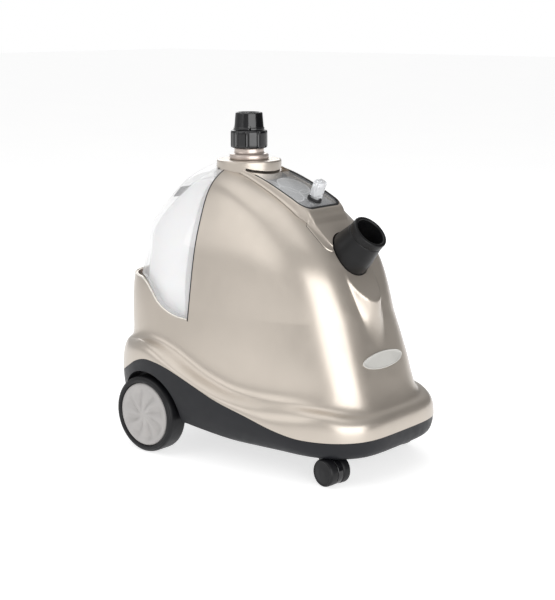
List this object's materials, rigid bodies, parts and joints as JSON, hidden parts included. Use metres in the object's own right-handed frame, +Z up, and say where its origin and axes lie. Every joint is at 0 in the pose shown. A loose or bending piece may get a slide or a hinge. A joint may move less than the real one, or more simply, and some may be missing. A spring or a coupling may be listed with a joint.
{
  "type": "garment steamer",
  "caption": "Rolling garment steamer body with lift-out water tank, pole socket with locking nut, steam knob and angled hose socket.",
  "frame": {"origin": "on the floor under the middle of the body's bounding box", "axes": "+Z up, -Y towards the hose socket at the front, +X across the body"},
  "size_m": [0.2672, 0.366, 0.3914],
  "materials": {
    "champagne": "pearl gloss",
    "charcoal": "satin",
    "black_gloss": "gloss",
    "rubber": "matte",
    "cream": "satin",
    "clear": "clear",
    "frosted": "frosted",
    "silver": "satin",
    "aluminium": "cast",
    "steel": "satin",
    "brass": "turned",
    "silicone": "satin",
    "ceramic": "matte"
  },
  "bodies": {
    "base": {"axle_clip_left": "steel", "axle_clip_right": "steel", "base_pan": "charcoal", "boiler_body": "aluminium", "boiler_lid": "aluminium", "cable_gland": "rubber", "control_switch": "charcoal", "display_tray": "silver", "feed_tube": "silicone", "front_badge": "silver", "heat_shield": "steel", "heating_element": "steel", "hose_socket": "rubber", "housing_shell": "champagne", "knob_ring": "rubber", "pan_screw_1": "steel", "pan_screw_2": "steel", "pan_screw_3": "steel", "pan_screw_4": "steel", "pole_collet": "black_gloss", "pole_neck": "champagne", "pole_platform": "champagne", "rear_axle": "steel", "spine_cover": "champagne", "steam_nipple": "brass", "steam_tube": "silicone", "tank_bay": "charcoal", "terminal_block": "ceramic", "thermal_fuse": "ceramic", "thermostat": "steel", "water_seat": "frosted", "window_cover": "clear", "window_gasket": "rubber"},
    "wheel_left": {"rear_tyre_left": "rubber", "rear_rim_left": "charcoal", "hub_cap_left": "cream"},
    "wheel_right": {"rear_tyre_right": "rubber", "rear_rim_right": "charcoal", "hub_cap_right": "cream"},
    "caster_left": {"caster_fork_left": "black_gloss", "caster_axle_left": "steel"},
    "caster_right": {"caster_fork_right": "black_gloss", "caster_axle_right": "steel"},
    "caster_left_wheel_a": {"caster_wheel_left_a": "rubber"},
    "caster_left_wheel_b": {"caster_wheel_left_b": "rubber"},
    "caster_right_wheel_a": {"caster_wheel_right_a": "rubber"},
    "caster_right_wheel_b": {"caster_wheel_right_b": "rubber"},
    "lock_nut": {"lock_nut": "black_gloss"},
    "steam_knob": {"steam_knob": "clear"},
    "drain_plug": {"drain_plug": "black_gloss"},
    "tank": {"tank_shell": "clear", "tank_liner": "frosted", "tank_grip": "charcoal", "tank_cap": "charcoal", "cap_seal": "silicone", "valve_guide": "frosted", "valve_spring": "steel"},
    "valve": {"valve_plunger": "frosted"}
  },
  "joints": [
    {"name": "wheel_left_spin", "type": "hinge", "parent": "base", "child": "wheel_left", "pos_m": [-0.12, 0.0955, 0.045], "axis": [1, 0, 0], "continuous": true},
    {"name": "wheel_right_spin", "type": "hinge", "parent": "base", "child": "wheel_right", "pos_m": [0.12, 0.0955, 0.045], "axis": [1, 0, 0], "continuous": true},
    {"name": "caster_left_swivel", "type": "hinge", "parent": "base", "child": "caster_left", "pos_m": [-0.077, -0.13, 0.038], "axis": [0, 0, 1], "continuous": true},
    {"name": "caster_right_swivel", "type": "hinge", "parent": "base", "child": "caster_right", "pos_m": [0.077, -0.13, 0.038], "axis": [0, 0, 1], "continuous": true},
    {"name": "caster_left_wheel_a_spin", "type": "hinge", "parent": "caster_left", "child": "caster_left_wheel_a", "pos_m": [-0.07903, -0.14284, 0.0153], "axis": [0.9877, -0.1564, 0], "continuous": true},
    {"name": "caster_left_wheel_b_spin", "type": "hinge", "parent": "caster_left", "child": "caster_left_wheel_b", "pos_m": [-0.07903, -0.14284, 0.0153], "axis": [0.9877, -0.1564, 0], "continuous": true},
    {"name": "caster_right_wheel_a_spin", "type": "hinge", "parent": "caster_right", "child": "caster_right_wheel_a", "pos_m": [0.07881, -0.11713, 0.0153], "axis": [-0.9903, 0.1392, 0], "continuous": true},
    {"name": "caster_right_wheel_b_spin", "type": "hinge", "parent": "caster_right", "child": "caster_right_wheel_b", "pos_m": [0.07881, -0.11713, 0.0153], "axis": [-0.9903, 0.1392, 0], "continuous": true},
    {"name": "lock_nut_turn", "type": "hinge", "parent": "base", "child": "lock_nut", "pos_m": [0, 0.0456, 0.36], "axis": [0, 0, 1], "range_deg": [0, 120]},
    {"name": "steam_knob_turn", "type": "hinge", "parent": "base", "child": "steam_knob", "pos_m": [0, -0.052, 0.2954], "axis": [0, -0.3987, 0.9171], "range_deg": [-60, 60]},
    {"name": "drain_plug_turn", "type": "hinge", "parent": "base", "child": "drain_plug", "pos_m": [0, 0.059, 0.045], "axis": [0, 0, 1], "range_deg": [0, 90]},
    {"name": "tank_lift", "type": "slide", "parent": "base", "child": "tank", "axis": [0, 0, 1], "range_m": [0, 0.1]},
    {"name": "valve_open", "type": "slide", "parent": "tank", "child": "valve", "axis": [0, 0, 1], "range_m": [0, 0.006], "stiffness_N_per_m": 120, "springref_m": -0.004, "deforming": ["valve_spring"]}
  ]
}
